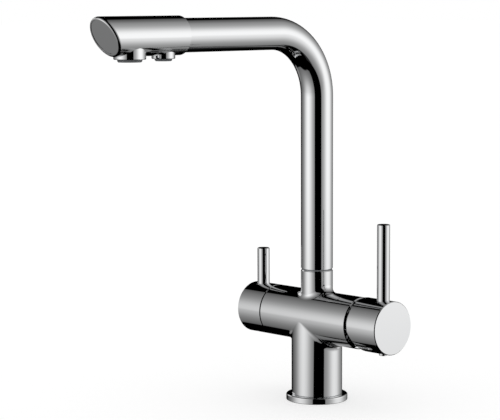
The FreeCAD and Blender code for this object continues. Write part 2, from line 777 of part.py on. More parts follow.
ease(sleeve, sleeve_cut, outer_rim, "head_round", "Fillet")
for outlet in ("main", "filter"):
    drill(sleeve, "XY", "-2 * sleeve_radius", "2 * sleeve_radius",
          outlet + "_collar_radius + seat_clearance", outlet + "_reach")

# End cap that fills the slanted end
end_cap = new_body("head_end_cap", "head")
pieces.append(end_cap)
turn_profile(end_cap, "X", tube_profile("tube_reach", "head_blank", "cap_radius"))
cut_slanted(end_cap, "cap_recess")
cut_slanted(end_cap, "cap_recess + cap_thickness", keep_inner=False)

# Outlet block inside the head: one way for mixed water, one for filtered water
block = new_body("outlet_block", "head")
pieces.append(block)
turn_profile(block, "X", tube_profile("block_start", "head_blank", "cap_radius"))
cut_slanted(block, "cap_recess + cap_thickness + block_gap")
for outlet in ("main", "filter"):
    drill(block, "XY", "-2 * sleeve_radius", "2 * sleeve_radius - %s_collar_top" % outlet,
          outlet + "_collar_radius + seat_clearance", outlet + "_reach")
drill(block, "XY", "-main_collar_top - 1", "main_collar_top + main_way_rise + 1", "main_chamber",
      "main_reach")
drill(block, "XY", "-filter_collar_top - 1", "filter_collar_top - inner_tube_drop + 1 + filter_chamber / 2",
      "filter_chamber", "filter_reach")
drill(block, "YZ", "block_start - 1", "main_reach - block_start + 1", "main_way_radius", "0",
      "main_way_rise")
drill(block, "YZ", "block_start - 1", "inner_tube_reach - block_start + 1",
      "inner_tube_radius + seat_clearance", "0", "-inner_tube_drop")
drill(block, "YZ", "inner_tube_reach - 1", "inner_tube_back + 1", "inner_tube_bore", "0",
      "-inner_tube_drop")


# Outlet collar, washer, aerator housing and insert, for each of the two outlets
def outlet_pieces(name, jets):
    collar = new_body(name + "_outlet_collar", "head", name + "_reach")
    bore = name + "_collar_bore"
    solid = turn_profile(collar, "Z", [
        ("-%s_collar_bottom" % name, bore),
        ("-%s_collar_bottom" % name, name + "_collar_radius"),
        ("-%s_collar_top" % name, name + "_collar_radius"),
        ("-%s_collar_top" % name, name + "_seat_bore"),
        ("-%s_seat" % name, name + "_seat_bore"),
        ("-%s_seat" % name, bore)])
    doc.recompute()
    ease(collar, solid, end_rim(solid, "z", "low"), "edge_break")
    washer = new_body(name + "_aerator_washer", "head", name + "_reach")
    washer_low = "-{0}_seat - {0}_washer".format(name)
    turn_profile(washer, "Z", tube_profile(
        washer_low, "-%s_seat" % name, bore + " - seat_clearance", name + "_seat_bore"))
    housing = new_body(name + "_aerator_housing", "head", name + "_reach")
    shoulder = "-%s_collar_bottom + running_clearance" % name
    solid = turn_profile(housing, "Z", [
        ("-%s_ring_bottom" % name, name + "_housing_bore"),
        ("-%s_ring_bottom" % name, name + "_ring_radius"),
        (shoulder, name + "_ring_radius"),
        (shoulder, bore + " - seat_clearance"),
        (washer_low, bore + " - seat_clearance"),
        (washer_low, name + "_housing_bore")])
    doc.recompute()
    ease(housing, solid, end_rim(solid, "z", "low"), "ring_taper")
    insert = new_body(name + "_aerator_insert", "head", name + "_reach")
    insert_low = "insert_recess - %s_ring_bottom" % name
    turn_profile(insert, "Z", tube_profile(
        insert_low, insert_low + " + %s_insert_length" % name, name + "_housing_bore - seat_clearance"))
    grid = new_sketch(insert, "XY", insert_low + " - 1")
    draw_circle(grid, "jet_radius")
    for ring_number in range(1, jets + 1):
        ring_radius = "%s_housing_bore * %d / %d" % (name, ring_number, jets + 1)
        for hole in range(6 * ring_number):
            angle = 60 * hole / ring_number
            draw_circle(grid, "jet_radius", "%s * cos(%.1f deg)" % (ring_radius, angle),
                        "%s * sin(%.1f deg)" % (ring_radius, angle))
    extrude(insert, grid, "%s_insert_length + 2" % name, cut=True)
    return [collar, washer, housing, insert]


pieces += outlet_pieces("main", 3)
pieces += outlet_pieces("filter", 2)

# Cartridge base with its three ports, and the seal rings under them
PORT_PLACES = [("-port_aside", "-inlet_drop"), ("port_aside", "-inlet_drop"), ("0", "mixed_rise")]
base = new_body("cartridge_base", "barrel")
pieces.append(base)
CARTRIDGE = "(chamber_radius - seat_clearance)"
HOUSING_BORE = "(chamber_radius - seat_clearance - housing_wall)"
FLANGE_END = "chamber_floor + base_flange"
BASE_END = "chamber_floor + base_length"
turn_profile(base, "X", [
    ("chamber_floor", "0"),
    ("chamber_floor", CARTRIDGE),
    (FLANGE_END, CARTRIDGE),
    (FLANGE_END, HOUSING_BORE + " - seat_clearance"),
    (BASE_END, HOUSING_BORE + " - seat_clearance"),
    (BASE_END, "0")])
SEAL_INNER = "base_port_radius + 0.4"
SEAL_OUTER = "base_port_radius + 0.4 + base_port_seal"
seals = []
for index, (across, up) in enumerate(PORT_PLACES):
    drill(base, "YZ", "chamber_floor - 1", "base_length + 2", "base_port_radius", across, up)
    groove = new_sketch(base, "YZ", "chamber_floor - 1")
    draw_circle(groove, SEAL_OUTER, across, up)
    draw_circle(groove, SEAL_INNER, across, up)
    extrude(base, groove, "base_port_seal + 1", cut=True)
    seal = new_body("cartridge_seal_%d" % (index + 1), "barrel")
    seal_sketch = new_sketch(seal, "YZ", "chamber_floor")
    draw_circle(seal_sketch, SEAL_OUTER + " - seat_clearance", across, up)
    draw_circle(seal_sketch, SEAL_INNER + " + seat_clearance", across, up)
    extrude(seal, seal_sketch, "base_port_seal")
    seals.append(seal)
pieces.append(group("cartridge_seals", seals))

# Cartridge housing: a cup open to the base, with a mouth for the rotor
housing = new_body("cartridge_housing", "barrel")
pieces.append(housing)
turn_profile(housing, "X", [
    (FLANGE_END, HOUSING_BORE),
    (FLANGE_END, CARTRIDGE),
    ("housing_end", CARTRIDGE),
    ("housing_end", "housing_mouth"),
    ("housing_end - housing_top_wall", "housing_mouth"),
    ("housing_end - housing_top_wall", HOUSING_BORE)])

# Ceramic discs
DISC_END = BASE_END + " + disc_thickness"
fixed_disc = new_body("cartridge_fixed_disc", "barrel")
pieces.append(fixed_disc)
turn_profile(fixed_disc, "X", tube_profile(BASE_END, DISC_END, HOUSING_BORE + " - seat_clearance"))
for across, up in PORT_PLACES:
    drill(fixed_disc, "YZ", BASE_END + " - 1", "disc_thickness + 2", "base_port_radius - 0.4", across, up)
MOVING_START = DISC_END + " + disc_gap"
MOVING_END = DISC_END + " + disc_gap + disc_thickness"
moving_disc = new_body("cartridge_moving_disc", "barrel")
pieces.append(moving_disc)
disc_sketch = new_sketch(moving_disc, "YZ", MOVING_START)
draw_circle(disc_sketch, "moving_disc_radius", "0", "-moving_disc_offset")
extrude(moving_disc, disc_sketch, "disc_thickness")
recess = new_sketch(moving_disc, "YZ", MOVING_START + " - 1")
draw_box(recess, "-base_port_radius", "base_port_radius", "base_port_radius", "moving_disc_radius - 3")
extrude(moving_disc, recess, "disc_thickness / 2 + 1", cut=True)

# Carrier on the moving disc, with the hole for the stem's ball
carrier = new_body("cartridge_disc_carrier", "barrel")
pieces.append(carrier)
carrier_sketch = new_sketch(carrier, "YZ", MOVING_END)
draw_circle(carrier_sketch, "carrier_radius", "0", "-moving_disc_offset")
draw_circle(carrier_sketch, "carrier_hole")
extrude(carrier, carrier_sketch, "carrier_length")

# Rotor: skirt round the carrier, slot for the stem, cross hole for the pivot pin
rotor = new_body("cartridge_rotor", "barrel")
pieces.append(rotor)
ROTOR_START = MOVING_END + " + running_clearance"
SKIRT_END = MOVING_END + " + carrier_length + running_clearance"
ROTOR_SHOULDER = "housing_end - housing_top_wall - running_clearance"
ROTOR_END = "housing_end + rotor_rise"
turn_profile(rotor, "X", [
    (ROTOR_START, "rotor_skirt"),
    (ROTOR_START, HOUSING_BORE + " - running_clearance"),
    (ROTOR_SHOULDER, HOUSING_BORE + " - running_clearance"),
    (ROTOR_SHOULDER, "housing_mouth - running_clearance"),
    (ROTOR_END, "housing_mouth - running_clearance"),
    (ROTOR_END, "0"),
    (SKIRT_END, "0"),
    (SKIRT_END, "rotor_skirt")])
slot = new_sketch(rotor, "YZ", SKIRT_END + " - 1")
draw_box(slot, "-stem_half - running_clearance", "-rotor_slot_length",
         "stem_half + running_clearance", "rotor_slot_length")
extrude(rotor, slot, "%s - (%s) + 2" % (ROTOR_END, SKIRT_END), cut=True)
pin_hole = new_sketch(rotor, "XZ")
draw_circle(pin_hole, "pivot_pin_radius + seat_clearance", "pivot_reach", "0")
extrude(rotor, pin_hole, "2 * pivot_pin_half + 1", cut=True, both=True)

pivot_pin = new_body("cartridge_pivot_pin", "barrel")
pieces.append(pivot_pin)
pin_sketch = new_sketch(pivot_pin, "XZ")
draw_circle(pin_sketch, "pivot_pin_radius", "pivot_reach", "0")
extrude(pivot_pin, pin_sketch, "2 * pivot_pin_half", both=True)

# Stem: square bar from the handle to the pivot, then a thin neck and a ball in the carrier
stem = new_body("cartridge_stem", "barrel")
pieces.append(stem)
bar = new_sketch(stem, "YZ", "stem_foot")
draw_box(bar, "-stem_half", "-stem_half", "stem_half", "stem_half")
extrude(stem, bar, "stem_end - stem_foot")
turn_profile(stem, "X", tube_profile("ball_reach", "stem_foot + 1", "stem_neck_radius"))
ball = stem.newObject("PartDesign::AdditiveSphere", "stem_ball")
ball.AttachmentSupport = [(origin_plane(stem, "XY"), "")]
ball.MapMode = "FlatFace"
ball.setExpression("Radius", bound("ball_radius"))
ball.setExpression("AttachmentOffset.Base.x", bound("ball_reach"))
stem_hole = new_sketch(stem, "XZ")
draw_circle(stem_hole, "pivot_pin_radius + running_clearance", "pivot_reach", "0")
extrude(stem, stem_hole, "4 * stem_half", cut=True, both=True)

# Threaded nut that clamps the cartridge, with six drive slots
nut = new_body("cartridge_nut", "barrel")
pieces.append(nut)
turn_profile(nut, "X", tube_profile(
    "housing_end", "housing_end + nut_length", "nut_thread_radius - seat_clearance", "nut_bore"))
doc.recompute()
nut_slot = new_sketch(nut, "YZ", "housing_end + nut_length")
draw_box(nut_slot, "-nut_slot_width / 2", "0", "nut_slot_width / 2", "nut_bore + nut_slot_depth")
first_slot = extrude(nut, nut_slot, "nut_length / 2", cut=True, against=True)
doc.recompute()
slots = nut.newObject("PartDesign::PolarPattern", "nut_slots")
slots.Originals = [first_slot]
slots.Axis = (nut_slot, ["N_Axis"])
slots.Angle = 360
slots.Occurrences = 6
nut.Tip = slots

# Bright cover ring that closes the barrel's mixer end round the stem
cover = new_body("cartridge_cover", "barrel")
pieces.append(cover)
COVER_START = "housing_end + nut_length + cover_gap"
COVER_END = "mixer_face - cover_inset"
COVER_RADIUS = "nut_thread_radius - seat_clearance"
turn_profile(cover, "X", [
    (COVER_START, "cover_mouth"),
    (COVER_START, COVER_RADIUS),
    (COVER_END + " - cover_bevel", COVER_RADIUS),
    (COVER_END, COVER_RADIUS + " - cover_bevel"),
    (COVER_END, "cover_mouth")])


# A handle: hollow drum with a hub for the stem and a boss for the lever pin
def handle_drum(side, frame, radius, rim_chamfer):
    body = new_body(side + "_handle", frame)
    start = side + "_start"
    drum = turn_profile(body, "X", tube_profile(start, side + "_end", radius))
    doc.recompute()
    drum = ease(body, drum, end_rim(drum, "x", "low"), rim_chamfer)
    doc.recompute()
    ease(body, drum, end_rim(drum, "x", "high"), "handle_end_chamfer")
    doc.recompute()
    inside = "%s - handle_wall" % radius
    floor = side + "_end - handle_end_wall"
    turn_profile(body, "X", [
        (start + " - 1", "0"),
        (start + " - 1", inside),
        (floor, inside),
        (floor, "hub_radius"),
        (side + "_hub_start", "hub_radius"),
        (side + "_hub_start", "0")], cut=True)
    boss = new_sketch(body, "XY")
    draw_circle(boss, "boss_radius", side + "_pin_reach")
    extrude(body, boss, "2 * (%s) + handle_wall" % inside, both=True)
    return body


def handle_bores(body, side, radius, stem_side):
    """Seat and thread for the lever pin above, thread and plug seat below."""
    over = radius + " + 1"
    reach = side + "_pin_reach"
    seat = side + "_lever_seat"
    drill(body, "XY", seat, "%s - %s" % (over, seat), "lever_radius + seat_clearance", reach)
    drill(body, "XY", "lever_thread_end", "%s - lever_thread_end" % seat,
          "lever_thread_radius + seat_clearance", reach)
    drill(body, "XY", "-(%s)" % over, "%s - plug_seat" % over, "plug_radius + seat_clearance", reach)
    drill(body, "XY", "-plug_seat", "plug_seat - %s + seat_clearance" % stem_side,
          "grub_radius + seat_clearance", reach)


def lever_parts(side, frame, stem_side, plug_end):
    """Lever pin, grub screw and plug of one handle."""
    pin_reach = side + "_pin_reach"
    seat = side + "_lever_seat"
    pin = new_body(side + "_lever_pin", frame, pin_reach)
    solid = turn_profile(pin, "Z", [
        ("lever_thread_end + seat_clearance", "0"),
        ("lever_thread_end + seat_clearance", "lever_thread_radius"),
        (seat, "lever_thread_radius"),
        (seat, "lever_radius"),
        (side + "_pin_rise", "lever_radius"),
        (side + "_pin_rise", "0")])
    doc.recompute()
    ease(pin, solid, end_rim(solid, "z", "high"), "lever_chamfer")
    screw = new_body(side + "_grub_screw", frame, pin_reach)
    turn_profile(screw, "Z", tube_profile("-%s - grub_length" % stem_side, "-" + stem_side, "grub_radius"))
    key = new_sketch(screw, "XY", "-%s - grub_length" % stem_side)
    draw_polygon(key, [("grub_hex * cos(%d deg)" % a, "grub_hex * sin(%d deg)" % a)
                       for a in range(0, 360, 60)])
    extrude(screw, key, "grub_hex_depth", cut=True)
    plug = new_body(side + "_screw_plug", frame, pin_reach)
    solid = turn_profile(plug, "Z", tube_profile("-(%s)" % plug_end, "-plug_seat", "plug_radius"))
    doc.recompute()
    ease(plug, solid, end_rim(solid, "z", "low"), "edge_break")
    return [pin, screw, plug]


# Mixer handle, relieved underneath so that it can tilt outward about the pivot pin
mixer = handle_drum("mixer", "barrel", "mixer_radius", "mixer_rim_chamfer")
pieces.append(mixer)
handle_bores(mixer, "mixer", "mixer_radius", "stem_half")
socket = new_sketch(mixer, "YZ", "mixer_hub_start - 1")
draw_box(socket, "-stem_half - seat_clearance", "-stem_half - seat_clearance",
         "stem_half + seat_clearance", "stem_half + seat_clearance")
extrude(mixer, socket, "stem_end - mixer_hub_start + 1.5", cut=True)
ARM = "(mixer_face + relief_clearance - pivot_reach)"
COSINE = "cos(lift_range * 1 deg)"
SINE = "sin(lift_range * 1 deg)"


def relief_point(along_plane):
    """A point of the barrel's end plane, turned back about the pivot by the lever's lift."""
    return ("pivot_reach + %s * %s - (%s) * %s" % (ARM, COSINE, along_plane, SINE),
            "%s * %s + (%s) * %s" % (ARM, SINE, along_plane, COSINE))


upper = relief_point("mixer_radius")
lower = relief_point("-2 * mixer_radius")
relief = new_sketch(mixer, "XZ")
draw_polygon(relief, [upper, lower, (upper[0], lower[1])])
extrude(mixer, relief, "4 * mixer_radius", cut=True, both=True)
pieces += lever_parts("mixer", "barrel", "stem_half", "mixer_radius + plug_proud")

# Filter handle
filter_handle = handle_drum("filter", "filter", "barrel_radius", "filter_face_chamfer")
pieces.append(filter_handle)
handle_bores(filter_handle, "filter", "barrel_radius", "spindle_square")
spindle_socket = new_sketch(filter_handle, "YZ", "filter_hub_start - 1")
draw_box(spindle_socket, "-spindle_square - seat_clearance", "-spindle_square - seat_clearance",
         "spindle_square + seat_clearance", "spindle_square + seat_clearance")
extrude(filter_handle, spindle_socket, "spindle_end - filter_hub_start + 1.5", cut=True)
pieces += lever_parts("filter", "filter", "spindle_square", "barrel_radius - plug_flush")

# Quarter-turn headwork: seat washer, two ceramic discs, body, spindle, clip and seals
WASHER_END = "headwork_floor + seat_washer_length"
seat_washer = new_body("headwork_seat_washer", "filter")
pieces.append(seat_washer)
turn_profile(seat_washer, "X", tube_profile(
    "headwork_floor", WASHER_END, "headwork_disc_radius", "seat_washer_bore"))
FIXED_END = WASHER_END + " + headwork_disc"
lower_disc = new_body("headwork_fixed_disc", "filter")
pieces.append(lower_disc)
turn_profile(lower_disc, "X", tube_profile(WASHER_END, FIXED_END, "headwork_disc_radius"))
sector = new_sketch(lower_disc, "YZ", WASHER_END + " - 1")
draw_polygon(sector, [("0.5", "0.5"), ("seat_washer_bore", "0.5"), ("0.5", "seat_washer_bore")])
draw_polygon(sector, [("-0.5", "-0.5"), ("-seat_washer_bore", "-0.5"), ("-0.5", "-seat_washer_bore")])
extrude(lower_disc, sector, "headwork_disc + 2", cut=True)
TURNING_START = FIXED_END + " + disc_gap"
TURNING_END = FIXED_END + " + disc_gap + headwork_disc"
upper_disc = new_body("headwork_moving_disc", "filter")
pieces.append(upper_disc)
turn_profile(upper_disc, "X", tube_profile(
    TURNING_START, TURNING_END, "headwork_disc_radius - running_clearance"))
wing = new_sketch(upper_disc, "YZ", TURNING_START + " - 1")
draw_polygon(wing, [("-0.5", "0.5"), ("-seat_washer_bore", "0.5"), ("-0.5", "seat_washer_bore")])
draw_polygon(wing, [("0.5", "-0.5"), ("seat_washer_bore", "-0.5"), ("0.5", "-seat_washer_bore")])
extrude(upper_disc, wing, "headwork_disc + 2", cut=True)

headwork = new_body("headwork_body", "filter")
pieces.append(headwork)
SHELL_START = "headwork_floor + headwork_lift"
FLANGE_START = "headwork_step + headwork_seal"
turn_profile(headwork, "X", [
    (SHELL_START, "headwork_barrel_bore"),
    (SHELL_START, "headwork_bore - seat_clearance"),
    (FLANGE_START, "headwork_bore - seat_clearance"),
    (FLANGE_START, "flange_radius"),
    (FLANGE_START + " + flange_length", "flange_radius"),
    (FLANGE_START + " + flange_length", "headwork_neck"),
    ("headwork_end", "headwork_neck"),
    ("headwork_end", "throat_radius"),
    ("throat_start", "throat_radius"),
    ("throat_start", "headwork_barrel_bore")])
window = new_sketch(headwork, "XY")
draw_circle(window, "window_radius", "(gallery_start + gallery_end) / 2")
extrude(headwork, window, "4 * headwork_bore", cut=True, both=True)
seal_ring = new_body("headwork_seal", "filter")
pieces.append(seal_ring)
turn_profile(seal_ring, "X", tube_profile(
    "headwork_step", FLANGE_START, "flange_radius - 0.5", "headwork_bore"))

spindle = new_body("headwork_spindle", "filter")
pieces.append(spindle)
SHAFT = "throat_radius - running_clearance"
CLIP_START = "headwork_end + running_clearance"
CLIP_END = "headwork_end + running_clearance + clip_thickness"
turn_profile(spindle, "X", [
    (TURNING_END, "0"),
    (TURNING_END, "fork_radius"),
    (TURNING_END + " + fork_length", "fork_radius"),
    (TURNING_END + " + fork_length", SHAFT),
    ("spindle_ring_reach - spindle_ring_section - 0.1", SHAFT),
    ("spindle_ring_reach - spindle_ring_section - 0.1", SHAFT + " - 2 * spindle_ring_section"),
    ("spindle_ring_reach + spindle_ring_section + 0.1", SHAFT + " - 2 * spindle_ring_section"),
    ("spindle_ring_reach + spindle_ring_section + 0.1", SHAFT),
    (CLIP_START, SHAFT),
    (CLIP_START, "clip_groove"),
    (CLIP_END + " + seat_clearance", "clip_groove"),
    (CLIP_END + " + seat_clearance", "spindle_tip_radius"),
    ("spindle_square_start", "spindle_tip_radius"),
    ("spindle_square_start", "0")])
square = new_sketch(spindle, "YZ", "spindle_square_start - 1")
draw_box(square, "-spindle_square", "-spindle_square", "spindle_square", "spindle_square")
extrude(spindle, square, "spindle_end - spindle_square_start + 1")
clip = new_body("spindle_clip", "filter")
pieces.append(clip)
turn_profile(clip, "X", tube_profile(CLIP_START, CLIP_END, "clip_radius", "clip_groove + seat_clearance"))
doc.recompute()
clip_mouth = new_sketch(clip, "YZ", CLIP_START + " - 1")
draw_box(clip_mouth, "-clip_groove * 0.7", "-clip_radius - 1", "clip_groove * 0.7", "0")
extrude(clip, clip_mouth, "clip_thickness + 2", cut=True)
spindle_ring = torus("spindle_oring", "filter", "spindle_ring_reach", SHAFT + " - spindle_ring_section",
                     "spindle_ring_section", False)
spindle_ring.Label = "spindle_oring"
pieces.append(spindle_ring)

# Recompute, check every object, then write one file for each piece
doc.recompute()
for thing in doc.Objects:
    if "Invalid" in thing.State or "Error" in thing.State:
        raise RuntimeError("%s did not compute: %s" % (thing.Label, thing.State))
for piece in pieces:
    if piece.Shape.isNull() or not piece.Shape.isValid():
        raise RuntimeError("%s has no valid shape" % piece.Label)
for piece in pieces:
    piece.Shape.exportStep("parts/%s.step" % piece.Label)
print("%d pieces written" % len(pieces))
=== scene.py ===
import math

import bpy
import numpy as np
from mathutils import Matrix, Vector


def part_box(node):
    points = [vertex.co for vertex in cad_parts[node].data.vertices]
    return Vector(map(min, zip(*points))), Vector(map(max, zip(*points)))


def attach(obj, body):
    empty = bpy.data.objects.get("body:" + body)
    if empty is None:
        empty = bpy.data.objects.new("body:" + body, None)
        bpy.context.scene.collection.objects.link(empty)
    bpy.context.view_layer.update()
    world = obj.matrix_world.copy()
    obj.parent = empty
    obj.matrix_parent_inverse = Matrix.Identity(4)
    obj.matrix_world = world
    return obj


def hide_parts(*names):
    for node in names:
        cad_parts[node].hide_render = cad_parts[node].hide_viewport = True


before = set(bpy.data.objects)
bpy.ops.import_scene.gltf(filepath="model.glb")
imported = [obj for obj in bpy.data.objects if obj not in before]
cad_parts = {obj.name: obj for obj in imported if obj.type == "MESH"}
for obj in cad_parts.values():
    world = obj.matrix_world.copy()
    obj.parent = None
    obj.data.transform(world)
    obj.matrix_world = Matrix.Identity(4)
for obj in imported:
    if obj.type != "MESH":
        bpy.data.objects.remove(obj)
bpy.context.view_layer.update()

# Body casting: barrel, column and neck in one piece of brass, with all the waterways cored inside.
# It is ground, polished on a mop and then nickel and chrome plated, which leaves the softest
# unevenness in the mirror and, after some handling, a few patches that are a little less clear.
CHROME = (0.70, 0.705, 0.71, 1.0)
PATCH_OCTAVES = 5.0
CLEAR_BELOW = 0.48
DULL_ABOVE = 0.72
SWELL_SCALE = 34.0
SWELL_OCTAVES = 1.0


def new_group(name, inputs, outputs):
    """A shader node group with named inputs and outputs, each given as (name, kind)."""
    group = bpy.data.node_groups.new(name, "ShaderNodeTree")
    for side, sockets in (("INPUT", inputs), ("OUTPUT", outputs)):
        for socket_name, kind in sockets:
            group.interface.new_socket(socket_name, in_out=side, socket_type="NodeSocket" + kind)
    return group, group.nodes.new("NodeGroupInput"), group.nodes.new("NodeGroupOutput")


def noise(nodes, link, place, scale, octaves):
    """Noise at a place. Its scale, in cells per metre, is a number or another node's output."""
    texture = nodes.new("ShaderNodeTexNoise")
    texture.inputs["Detail"].default_value = octaves
    link(place, texture.inputs["Vector"])
    if isinstance(scale, float):
        texture.inputs["Scale"].default_value = scale
    else:
        link(scale, texture.inputs["Scale"])
    return texture.outputs["Fac"]


def rise(nodes, link, value, start, end, kind, low=0.0):
    """From low at start to 1 at end, level outside, and LINEAR or eased by SMOOTHSTEP between."""
    step = nodes.new("ShaderNodeMapRange")
    step.interpolation_type = kind
    step.inputs["From Min"].default_value = start
    step.inputs["From Max"].default_value = end
    step.inputs["To Min"].default_value = low
    link(value, step.inputs["Value"])
    return step.outputs["Result"]


def multiply_add(nodes, link, value, factor, addend):
    """value x factor + addend, all three from other nodes."""
    total = nodes.new("ShaderNodeMath")
    total.operation = "MULTIPLY_ADD"
    for source, socket in zip((value, factor, addend), total.inputs):
        link(source, socket)
    return total.outputs["Value"]


def polish_group():
    """Roughness = clear roughness + spread x smoothed noise; swell = one octave of broad noise."""
    group, given, out = new_group(
        "mop polish",
        [("Clear roughness", "Float"), ("Spread", "Float"), ("Patch scale", "Float")],
        [("Roughness", "Float"), ("Swell", "Float")])
    nodes, link = group.nodes, group.links.new
    place = nodes.new("ShaderNodeTexCoord").outputs["Object"]
    patches = noise(nodes, link, place, given.outputs["Patch scale"], PATCH_OCTAVES)
    dull = rise(nodes, link, patches, CLEAR_BELOW, DULL_ABOVE, "SMOOTHSTEP")
    link(multiply_add(nodes, link, dull, given.outputs["Spread"], given.outputs["Clear roughness"]),
         out.inputs["Roughness"])
    link(noise(nodes, link, place, SWELL_SCALE, SWELL_OCTAVES), out.inputs["Swell"])
    return group


MOP_POLISH = polish_group()


def principled(name, roughness, metallic):
    """A material, its Principled shader with two plain values set, its nodes and its link call."""
    material = bpy.data.materials.new(name)
    material.use_nodes = True
    tree = material.node_tree
    shader = tree.nodes["Principled BSDF"]
    shader.inputs["Roughness"].default_value = roughness
    shader.inputs["Metallic"].default_value = metallic
    return material, shader, tree.nodes, tree.links.new


def place_group(nodes, group, values):
    """A node group placed in a material, with a dictionary of values for its inputs."""
    placed = nodes.new("ShaderNodeGroup")
    placed.node_tree = group
    for socket_name, value in values.items():
        placed.inputs[socket_name].default_value = value
    return placed


def relief(nodes, link, height, distance, shader):
    """Normals for a shader from a height of 0 to 1 that stands for a distance in metres."""
    bump = nodes.new("ShaderNodeBump")
    bump.inputs["Distance"].default_value = distance
    link(height, bump.inputs["Height"])
    link(bump.outputs["Normal"], shader.inputs["Normal"])


def chrome_plate(name, clear, spread, patch_scale, swell):
    """Chrome plate: a metal whose roughness and faint swell come from the mop polish group."""
    material, shader, nodes, link = principled(name, roughness=clear, metallic=1.0)
    shader.inputs["Base Color"].default_value = CHROME
    polish = place_group(nodes, MOP_POLISH, {
        "Clear roughness": clear, "Spread": spread, "Patch scale": patch_scale})
    link(polish.outputs["Roughness"], shader.inputs["Roughness"])
    relief(nodes, link, polish.outputs["Swell"], swell, shader)
    return material


def dress(material, *names):
    """Give one finish to CAD nodes that stay as they are."""
    for name in names:
        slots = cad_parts[name].data.materials
        slots.clear()
        slots.append(material)


dress(chrome_plate("body chrome", clear=0.035, spread=0.03, patch_scale=26.0, swell=0.000004),
      "body_casting")

# Inlet block: a turned brass slug sealed into the column's foot, with the threaded sockets for the
# three hoses and the two studs. Left bare, so it keeps its turning marks and a little tarnish.
CLOUD_OCTAVES = 6.0
CLOUD_START = 0.35
CLOUD_END = 0.65
GRAIN_OCTAVES = 3.0


def socket_of(sockets, identifier):
    """The one with this identifier among a node's sockets, several of which share a name."""
    return next(socket for socket in sockets if socket.identifier == identifier)


def grain_group():
    """Colour mixed by coarse noise, roughness spread by it, height from fine noise."""
    group, given, out = new_group(
        "surface grain",
        [("Colour", "Color"), ("Other colour", "Color"), ("Cloud scale", "Float"),
         ("Grain scale", "Float"), ("Roughness", "Float"), ("Spread", "Float")],
        [("Colour", "Color"), ("Roughness", "Float"), ("Grain", "Float")])
    nodes, link = group.nodes, group.links.new
    place = nodes.new("ShaderNodeTexCoord").outputs["Object"]
    clouds = noise(nodes, link, place, given.outputs["Cloud scale"], CLOUD_OCTAVES)
    share = rise(nodes, link, clouds, CLOUD_START, CLOUD_END, "LINEAR")
    mix = nodes.new("ShaderNodeMix")
    mix.data_type = "RGBA"
    link(share, socket_of(mix.inputs, "Factor_Float"))
    link(given.outputs["Colour"], socket_of(mix.inputs, "A_Color"))
    link(given.outputs["Other colour"], socket_of(mix.inputs, "B_Color"))
    link(socket_of(mix.outputs, "Result_Color"), out.inputs["Colour"])
    link(multiply_add(nodes, link, share, given.outputs["Spread"], given.outputs["Roughness"]),
         out.inputs["Roughness"])
    link(noise(nodes, link, place, given.outputs["Grain scale"], GRAIN_OCTAVES), out.inputs["Grain"])
    return group


SURFACE_GRAIN = grain_group()


def plain_finish(name, colour, other, cloud_scale, grain_scale, roughness, spread, depth, metallic=0.0):
    """A finish whose colour, roughness and fine height all come from the surface grain group."""
    material, shader, nodes, link = principled(name, roughness, metallic)
    surface = place_group(nodes, SURFACE_GRAIN, {
        "Colour": (*colour, 1.0), "Other colour": (*other, 1.0), "Cloud scale": cloud_scale,
        "Grain scale": grain_scale, "Roughness": roughness, "Spread": spread})
    link(surface.outputs["Colour"], shader.inputs["Base Color"])
    link(surface.outputs["Roughness"], shader.inputs["Roughness"])
    relief(nodes, link, surface.outputs["Grain"], depth, shader)
    return material


BRASS = plain_finish(
    "turned brass", colour=(0.78, 0.62, 0.32), other=(0.62, 0.46, 0.22), cloud_scale=90.0,
    grain_scale=1800.0, roughness=0.24, spread=0.14, depth=0.00002, metallic=1.0)
dress(BRASS, "inlet_block")

# Base ring and its gasket: a chromed brass ring pressed over the foot of the column, and a moulded
# rubber ring in the groove underneath it that seals on the worktop.
RUBBER = plain_finish(
    "moulded rubber", colour=(0.03, 0.03, 0.03), other=(0.05, 0.049, 0.047), cloud_scale=120.0,
    grain_scale=2600.0, roughness=0.72, spread=0.12, depth=0.00003)
dress(chrome_plate("ring chrome", clear=0.03, spread=0.03, patch_scale=45.0, swell=0.000002), "base_ring")
dress(RUBBER, "base_gasket")

# Mixer cartridge: glass-filled plastic housing and base, two lapped ceramic discs, a white acetal
# rotor and carrier, a brass stem on a steel pin, and rubber seals. It drops into the barrel's end.
HOUSING_PLASTIC = plain_finish(
    "glass-filled plastic", colour=(0.18, 0.19, 0.20), other=(0.15, 0.158, 0.166), cloud_scale=70.0,
    grain_scale=1500.0, roughness=0.5, spread=0.12, depth=0.00002)
ACETAL = plain_finish(
    "white acetal", colour=(0.85, 0.85, 0.83), other=(0.80, 0.80, 0.78), cloud_scale=50.0,
    grain_scale=1200.0, roughness=0.38, spread=0.10, depth=0.00001)
CERAMIC = plain_finish(
    "lapped ceramic", colour=(0.93, 0.92, 0.90), other=(0.90, 0.885, 0.86), cloud_scale=80.0,
    grain_scale=3000.0, roughness=0.16, spread=0.08, depth=0.000003)
STEEL = plain_finish(
    "stainless steel", colour=(0.60, 0.60, 0.60), other=(0.52, 0.52, 0.53), cloud_scale=110.0,
    grain_scale=2200.0, roughness=0.28, spread=0.14, depth=0.00001, metallic=1.0)
dress(HOUSING_PLASTIC, "cartridge_housing", "cartridge_base")
dress(RUBBER, "cartridge_seals")
dress(CERAMIC, "cartridge_fixed_disc", "cartridge_moving_disc")
dress(ACETAL, "cartridge_disc_carrier", "cartridge_rotor")
dress(STEEL, "cartridge_pivot_pin")
dress(BRASS, "cartridge_stem")

# Cartridge nut and cover ring: the slotted brass nut holds the cartridge down, and the thin bevelled
# chrome ring that snaps in front of it closes the end of the barrel behind the mixer handle.
dress(BRASS, "cartridge_nut")
dress(chrome_plate("cover chrome", clear=0.03, spread=0.03, patch_scale=60.0, swell=0.000002),
      "cartridge_cover")

